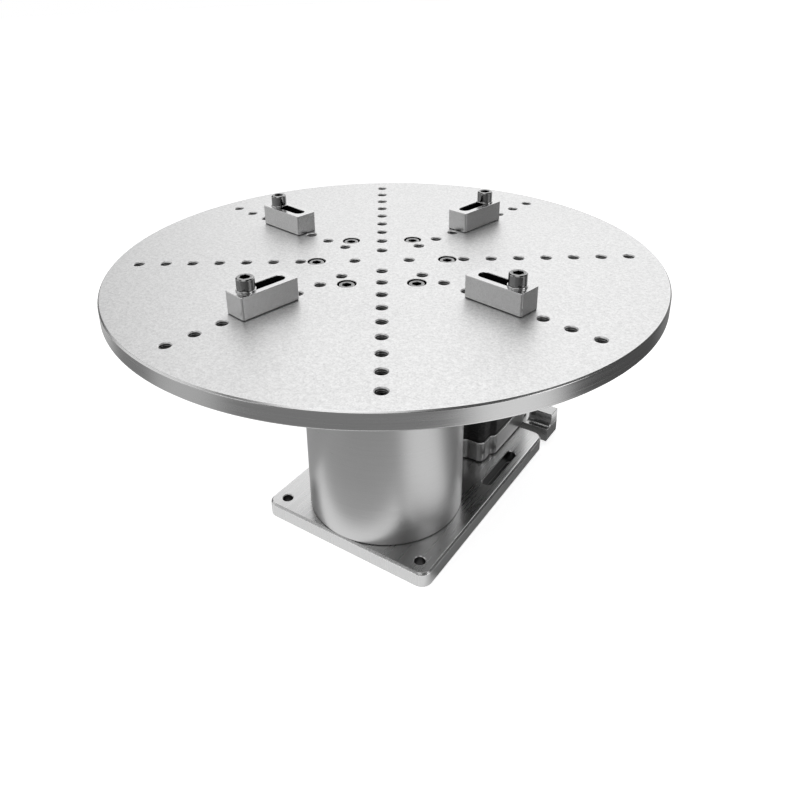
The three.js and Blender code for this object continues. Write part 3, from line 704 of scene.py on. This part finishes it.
def base_plate():
    """The flat base: two bolt holes in front, a slot on each side, screw recesses below."""
    node = "base_plate"
    least, most = low(node), high(node)
    bottom, top = least.z, most.z
    edge, corner, inset = 1.5, 9, 12.5
    bolt, slot_start, slot_end = 4.25, 55, 110
    corners = [
        (-4, top), (-edge, top), (0, top - edge), (0, bottom + 0.4), (-0.4, bottom), (-4, bottom)
    ]
    piece = Piece()
    outline = rounded_box(least.x, most.x, least.y, most.y, corner, 96)
    upper, lower = piece.wall(outline, softened(corners, 0.3, 0.25, 4))
    # The mouth's chamfer is brightened, partly as wear and partly as a painted highlight.
    mouth = [(1.6, top, 0), (0.85, top, 0), (0.75, top - 0.02, 1), (0, top - 0.7, 1)]
    # Painted shade down each slot's walls.
    sunk = [(0, top - 0.9, -0.85), (0, bottom + 1.2, -1.0)]
    foot = softened([(0, bottom + 3), (0, bottom + 0.7), (0.7, bottom), (1.6, bottom)], 0.12, 0.1)[1:]
    ends = []
    for x in (least.x + inset, most.x - inset):
        ends.append(bored(piece, x, least.y + inset, bolt, top, bottom, 0.6, steps=48))
        slot = band([(x, slot_start + bolt, bolt), (x, slot_end - bolt, bolt)], 64)
        ends.append(piece.wall(slot, mouth + sunk + foot))
    recess, recess_top, screw_hole = 5.7, 6.7, 3.3
    steps_up = [
        (recess, bottom, 0), (recess, recess_top, 0), (screw_hole, recess_top, 0), (screw_hole, top, 0)
    ]
    for i in range(1, 5):
        for kind in ("column_foot_screw", "motor_foot_screw"):
            m = middle(f"{kind}_{i}")
            if m.y < most.y - 8:
                rings = piece.wall(circle(m.x, m.y, 0, 32), steps_up)
                ends.append(rings[::-1])
    piece.panel(upper, *(end[0] for end in ends))
    piece.panel(lower, *(end[1] for end in ends))
    piece.stand_in(node)


def rear_foot():
    """The stepped foot: a low bar, and two ears that rise from it through a hollow curve."""
    node = "rear_foot"
    a, b = low(node), high(node)
    floor = high("base_plate").z
    pocket = size("motor_stack").x / 2 + 1.5
    outline = polygon([(a.x, a.y), (b.x, a.y), (b.x, b.y), (a.x, b.y)])
    low_part = [(-2, floor), (-0.4, floor), (0, floor - 0.4), (0, a.z + 0.3), (-0.3, a.z), (-2, a.z)]
    piece = Piece()
    for end in piece.wall(outline, softened(low_part, 0.15, 0.12)):
        piece.panel(end)
    rise, hollow, bends, sunk = a.y + 9.5, 6.0, 8, 0.02
    back = b.y - sunk
    side = [(back, b.z - 0.5), (b.y - 0.5, b.z), (rise + 0.5, b.z), (rise, b.z - 0.5)]
    for i in range(bends + 1):
        turn = math.pi / 2 * i / bends
        y = rise - hollow + hollow * math.cos(turn)
        side.append((y, floor + hollow - hollow * math.sin(turn)))
    side += [(rise - hollow, floor - 0.3), (back, floor - 0.3)]
    for x0, x1 in ((a.x + sunk, -pocket), (pocket, b.x - sunk)):
        piece.bar(polygon(side), x0, x1, 0.3)
    piece.stand_in(node, polished_and_shaded)


def column():
    """A turned tube, with a line of painted shade where it stands on the base."""
    node = "column"
    foot, head = low(node).z, high(node).z
    r, tube_wall = size(node).x / 2, 9.5
    profile = softened([(r - 4, head), (r - 0.5, head), (r, head - 0.5), (r, foot + 3)], 0.2, 0.15)
    # Painted shade round the tube's foot.
    profile += [(r, foot + 1.0, 0.0), (r, foot + 0.6, -0.75), (r - 0.6, foot, -0.9), (r - 4, foot, 0.0)]
    axis = circle(0, 0, 0, 192)
    piece = Piece()
    outside = piece.wall(axis, profile)
    inside = piece.wall(axis, [(r - tube_wall, head, 0), (r - tube_wall, foot, 0)])
    for outer, inner in zip(outside, inside):
        piece.panel(outer, inner)
    piece.stand_in(node)


base_plate()
rear_foot()
column()


# ------------------------------------------------------------ drive housing

def housing_band(radius, inset):
    """The outline round the column's end and the two far corners over the motor."""
    half, corner, far = 56, 14, high("housing_cover").y
    corners = [(x, far - corner, corner - inset) for x in (corner - half, half - corner)]
    return band([(0, 0, radius - inset), *corners], 96)


def drive_housing():
    """The tray for the belt: a wall all round, a spigot into the column, a pilot for the motor."""
    node = "drive_housing"
    top, spigot_end, under = high(node).z, low(node).z, high("column").z
    wall, floor = 5, under + 6
    spigot, bearing, pilot = 53.7, 35.8, 24
    radius = size(node).x / 2
    piece = Piece()
    outside = [(-1.5, top), (-0.5, top), (0, top - 0.5), (0, under + 1), (-1, under), (-2, under)]
    rim, bottom = piece.wall(housing_band(radius, 0), softened(outside, 0.3, 0.2))
    inside = [(1.2, top), (0, top), (0, floor), (-1.5, floor)]
    inner_rim, tray = piece.wall(housing_band(radius, wall), softened(inside, 0.3, 0.2))
    piece.panel(rim, inner_rim)
    axis, motor_axis = circle(0, 0, 0, 96), circle(0, middle("motor_stack").y, 0, 64)
    spigot_top, spigot_foot = piece.wall(axis, [(spigot, under, 0), (spigot, spigot_end, 0)])
    pilot_foot, pilot_top = piece.wall(motor_axis, [(pilot, under, 0), (pilot, floor, 0)])
    bearing_foot, bearing_top = piece.wall(axis, [(bearing, spigot_end, 0), (bearing, floor, 0)])
    piece.panel(bottom, spigot_top, pilot_foot)
    piece.panel(spigot_foot, bearing_foot)
    piece.panel(tray, bearing_top, pilot_top)
    piece.stand_in(node)


def housing_cover():
    """The lid over the belt, with countersunk screw holes."""
    node = "housing_cover"
    bottom, top = low(node).z, high(node).z
    shaft_hole, screw_hole, sink = 24.5, 2.3, 2.2
    corners = [
        (-1.2, top), (-0.6, top), (0, top - 0.6), (0, bottom + 0.3), (-0.3, bottom), (-1.2, bottom)
    ]
    piece = Piece()
    upper, lower = piece.wall(housing_band(size(node).x / 2, 0), softened(corners, 0.2, 0.15))
    ends = [bored(piece, 0, 0, shaft_hole, top, bottom, 0.5, steps=96)]
    sunk = [(screw_hole + sink, top, 0), (screw_hole, top - 2.4, 0), (screw_hole, bottom, 0)]
    for i in range(1, 5):
        m = middle(f"cover_screw_{i}")
        ends.append(piece.wall(circle(m.x, m.y, 0, 32), sunk))
    piece.panel(upper, *(end[0] for end in ends))
    piece.panel(lower, *(end[1] for end in ends))
    piece.stand_in(node)


drive_housing()
housing_cover()


# ------------------------------------------------------------ motor

SHAFT_BORE, BELL_BEVEL = 9.8, 0.8


def motor_part(node, corners, bore, look=None):
    """A slice of the motor: the lobed outline, bored through on the motor's axis."""
    m = middle("motor_stack")
    piece = Piece()
    outside = piece.wall(bell_outline(m.x, m.y, size("motor_stack").x / 2), corners)
    hole = piece.wall(circle(m.x, m.y, 0, 64), [(bore, corners[i][1], 0) for i in (0, -1)])
    for outer, inner in zip(outside, hole):
        piece.panel(outer, inner)
    piece.stand_in(node, look, sharp=40)


def rear_bell():
    """The end bell that stands on the base, with painted shade round its foot."""
    node = "motor_rear_bell"
    bottom, top = low(node).z, high(node).z
    rear = [(-3, top), (-BELL_BEVEL, top), (0, top - BELL_BEVEL), (0, bottom + 6)]
    # Painted shade: the contact shadow round the bell's foot.
    foot = [(0, bottom + 1.8, 0), (-0.1, bottom + 1.3, -0.7), (-1.2, bottom, -0.9), (-3, bottom, -0.9)]
    motor_part(node, softened(rear, 0.4, 0.2, 4) + foot, SHAFT_BORE, bell_look)


def motor_stack():
    """The black body, with fine seams between its laminations."""
    node = "motor_stack"
    bottom, top = low(node).z, high(node).z
    skin, seam, seam_step, stator_bore = -0.4, 0.12, 2.5, 28.6
    profile = softened([(-2, top), (skin, top), (skin, top - 1.0)], 0.1, 0.08)
    z = top - 1.5
    while z > bottom + 2:
        profile += [(skin, z, 0.2), (skin - seam, z - 0.15, 0.0), (skin, z - 0.3, 0.2)]
        z -= seam_step
    profile += softened([(skin, bottom + 1.0), (skin, bottom), (-2, bottom)], 0.1, 0.08)
    motor_part(node, profile, stator_bore)


def front_bell():
    """The end bell below the drive housing."""
    node = "motor_front_bell"
    bottom, top = low(node).z, high("column").z
    front = [
        (-3, top), (-BELL_BEVEL, top), (0, top - BELL_BEVEL), (0, bottom + 1.2), (-1.2, bottom),
        (-3, bottom),
    ]
    motor_part(node, softened(front, 0.4, 0.2, 4), SHAFT_BORE, bell_look)


def motor_connector():
    """The inlet for the motor's lead: a flange, a knurled nut, and four pins in a well dark with painted
    shade.
    """
    node = "motor_connector"
    start, spot = low(node).y, middle(node)
    radius, length = size(node).x / 2, size(node).y
    ridges, depth = 40, 0.22
    piece = Piece()
    round_one = circle(0, 0, 0, 4 * ridges)

    def knurled(grow):
        return [
            (x * (1 - depth / grow), y * (1 - depth / grow)) if i % 4 > 1 else (x, y)
            for i, (x, y) in enumerate(round_one(grow))
        ]

    flange, waist, nut, wall = 2.0, radius - 1.0, length - 5.5, 1.6
    parts = [
        (round_one, [(0.4, 0, 0), (radius - 0.2, 0, 1), (radius, 0.2, 1), (radius, 0.6, 0)]),
        (round_one, [(radius, flange - 0.3, 0), (radius - 0.2, flange, 1), (waist, flange, 0)]),
        (round_one, [(waist, nut, 0), (radius - 0.5, nut, 0.6)]),
        (knurled, [(radius - 0.02, nut + 0.5, 0.4), (radius - 0.02, length - 0.9, 0.4)]),
        (round_one, [(radius - 0.5, length - 0.2, 1), (radius - 0.8, length, 0.6)]),
        # Painted shade down the inside of the well.
        (round_one, [(radius - wall, length, 0.6), (radius - wall, length - 0.6, -0.6)]),
        (round_one, [(radius - wall, flange + 1, -1), (0.4, flange + 1, -0.8)]),
    ]
    rings = [piece.ring(shape, *corner) for shape, corners in parts for corner in corners]
    for end in piece.skin(rings):
        piece.panel(end)
    pin, tip, pin_circle = 0.6, length - 1.5, (radius - wall) / 2
    pin_side = [(pin, flange + 0.8, 0), (pin, tip - 0.3, 0), (pin / 2, tip, 1)]
    for i in range(4):
        turn = math.pi / 4 + i * math.pi / 2
        around = circle(pin_circle * math.cos(turn), pin_circle * math.sin(turn), 0, 16)
        for end in piece.wall(around, pin_side):
            piece.panel(end)
    piece.points = [(spot.x + x, start + z, spot.z + y) for x, y, z in piece.points]
    piece.stand_in(node)


rear_bell()
motor_stack()
front_bell()
motor_connector()


# ------------------------------------------------------------ the CAD nodes' finishes

for node, shape in frame["nodes"].items():
    look = LOOKS[slot_of[node]]
    if shape.data.materials:
        for i in range(len(shape.data.materials)):
            shape.data.materials[i] = look
    else:
        shape.data.materials.append(look)


# ------------------------------------------------------------ floor and light

SET_TURN = math.radians(35.6)
RIGHT_WAY = Vector((math.cos(SET_TURN), math.sin(SET_TURN), 0))
BACK_WAY = Vector((-math.sin(SET_TURN), math.cos(SET_TURN), 0))


def way(azimuth, rise=0.0):
    """A direction: azimuth 0 is towards the front of the set, 90 its right; rise in degrees."""
    a, e = math.radians(azimuth), math.radians(rise)
    flat = RIGHT_WAY * math.sin(a) - BACK_WAY * math.cos(a)
    return flat * math.cos(e) + Vector((0, 0, math.sin(e)))


def lobe(tree, place, aim, inner, outer, strength):
    """A soft patch round one direction: full within the inner angle, gone past the outer one."""
    dot = add(tree, "ShaderNodeVectorMath", {0: place, 1: tuple(aim)}, operation="DOT_PRODUCT")
    links = {
        "Value": dot.outputs["Value"], "From Min": math.cos(math.radians(outer)),
        "From Max": math.cos(math.radians(inner)), "To Min": 0.0, "To Max": strength,
    }
    return add(tree, "ShaderNodeMapRange", links, interpolation_type="SMOOTHSTEP").outputs["Result"]


def lobes(tree, place, level, patches):
    """An even level with soft patches added to it or, below zero, taken from it."""
    for aim, inner, outer, strength in patches:
        level = sums(tree, "ADD", lobe(tree, place, aim, inner, outer, strength), level)
    return level


def blend(tree, factor, a, b):
    """The value a where the factor is 0, and b where it is 1."""
    node = add(tree, "ShaderNodeMix", {"Factor": factor}, data_type="FLOAT")
    for index, value in ((2, a), (3, b)):
        if isinstance(value, bpy.types.NodeSocket):
            tree.links.new(value, node.inputs[index])
        else:
            node.inputs[index].default_value = value
    return node.outputs[0]


def card(tree, x, y, x_ends, y_ends, soft):
    """A rectangle on the floor: 1 inside, falling to 0 over its soft edge."""
    mask = 1.0
    for along, (start, end) in ((x, x_ends), (y, y_ends)):
        rise = spread(tree, along, start - soft, start, 0.0, 1.0)
        fall = spread(tree, along, end, end + soft, 1.0, 0.0)
        mask = sums(tree, "MULTIPLY", sums(tree, "MULTIPLY", rise, fall), mask)
    return mask


def add_floor():
    """A white floor with a painted shadow under the base; what the metal sees of it is a glow of painted
    light, with pale cards and a dark card of painted shadow lying beside the base.
    """
    radius, drop, inset = 6, 0.0002, 0.005
    mesh = bpy.data.meshes.new("floor")
    work = bmesh.new()
    bmesh.ops.create_circle(work, cap_ends=True, radius=radius, segments=96)
    work.to_mesh(mesh)
    work.free()
    look, tree, shader = blank("studio_floor")
    shader.inputs["Roughness"].default_value = 0.9
    shader.inputs["Specular IOR Level"].default_value = 0.1
    shader.inputs["Emission Color"].default_value = grey(1.0)
    spot = add(tree, "ShaderNodeTexCoord").outputs["Object"]
    parts = add(tree, "ShaderNodeSeparateXYZ", {0: spot})
    x, y = parts.outputs["X"], parts.outputs["Y"]
    front, side = low("base_plate").y * MM, high("base_plate").x * MM
    # Painted shadow: under the base's footprint the floor's colour and glow are turned down.
    under = card(tree, x, y, (inset - side, side - inset), (front + inset, 0.14), 0.003)
    tree.links.new(spread(tree, under, 0.0, 1.0, 0.85, 0.12), shader.inputs["Base Color"])
    tree.links.new(spread(tree, under, 0.0, 1.0, 0.76, 0.0), shader.inputs["Emission Strength"])

    aim = add(tree, "ShaderNodeVectorMath", {0: spot}, operation="NORMALIZE").outputs[0]
    reach = add(tree, "ShaderNodeVectorMath", {0: spot}, operation="LENGTH").outputs["Value"]
    # The glow the metal sees is painted light: soft patches near the base and far from it.
    near = lobes(tree, aim, 0.40, ((way(46), 8, 36, 0.46), (way(125), 8, 60, -0.24)))
    far = lobes(
        tree, aim, 0.22,
        (
            (way(-67), 4, 20, 0.28), (way(39), 5, 22, 0.60), (way(84), 14, 34, -0.14),
            (way(-132), 12, 30, 0.30), (way(180), 20, 60, 0.30),
        ),
    )
    mirrored = blend(tree, spread(tree, reach, 0.24, 0.42, 0.0, 1.0), near, far)
    # Cards of painted light and shade: a pale one in front of the base, a dark painted shadow right of it,
    # a bright one further right and back.
    for level, x_ends, y_ends, soft in (
        (0.96, (-side - 0.03, side + 0.01), (front - 0.028, front), 0.008),
        (0.17, (side - 0.02, side + 0.022), (front + 0.02, 0.2), 0.012),
        (2.20, (side + 0.024, side + 0.12), (0.205, 0.30), 0.02),
    ):
        mirrored = blend(tree, card(tree, x, y, x_ends, y_ends, soft), mirrored, level)
    glow = add(tree, "ShaderNodeEmission", {"Color": grey(1.0), "Strength": mirrored})
    seen = add(tree, "ShaderNodeLightPath").outputs["Is Camera Ray"]
    mix = add(tree, "ShaderNodeMixShader", {0: seen})
    tree.links.new(glow.outputs[0], mix.inputs[1])
    tree.links.new(shader.outputs[0], mix.inputs[2])
    tree.links.new(mix.outputs[0], tree.nodes["Material Output"].inputs["Surface"])
    mesh.materials.append(look)
    floor = bpy.data.objects.new("floor", mesh)
    floor.location.z = -drop
    bpy.context.scene.collection.objects.link(floor)


def add_world():
    """A white room; what the metal sees of it is bright behind the set and dark in front."""
    world = bpy.data.worlds.new("studio")
    bpy.context.scene.world = world
    world.use_nodes = True
    tree = world.node_tree
    tree.nodes.clear()
    place = add(tree, "ShaderNodeTexCoord").outputs["Generated"]
    mirrored = lobes(
        tree, place, 0.06,
        (
            (way(164, 33), 21, 50, 1.12), (way(-98, 24), 14, 32, 0.76), (way(-57, 23), 4, 14, 1.30),
            (way(62, 24), 6, 17, 1.80), (way(-12, 20), 8, 34, 0.07), (way(-28, 61), 9, 27, 1.15),
        ),
    )
    seen = add(tree, "ShaderNodeLightPath").outputs["Is Camera Ray"]
    level = blend(tree, seen, mirrored, 1.0)
    background = add(tree, "ShaderNodeBackground", {"Color": grey(1.0), "Strength": level})
    out = add(tree, "ShaderNodeOutputWorld")
    tree.links.new(background.outputs[0], out.inputs["Surface"])


def add_lamp(name, place, target, width, power):
    """A square soft light that faces its target."""
    data = bpy.data.lights.new(name, "AREA")
    data.shape = "RECTANGLE"
    data.size, data.size_y = width, width
    data.energy = power
    lamp = bpy.data.objects.new(name, data)
    lamp.location = place
    lamp.rotation_mode = "QUATERNION"
    lamp.rotation_quaternion = (Vector(target) - Vector(place)).to_track_quat("-Z", "Y")
    bpy.context.scene.collection.objects.link(lamp)


add_floor()
add_world()
add_lamp("key_light", (-0.3, 0.2, 1.9), (0, 0, 0.15), width=1.4, power=3)

view = bpy.context.scene.view_settings
view.view_transform = "Standard"
view.look = "None"
view.exposure = 0.0
view.gamma = 1.0
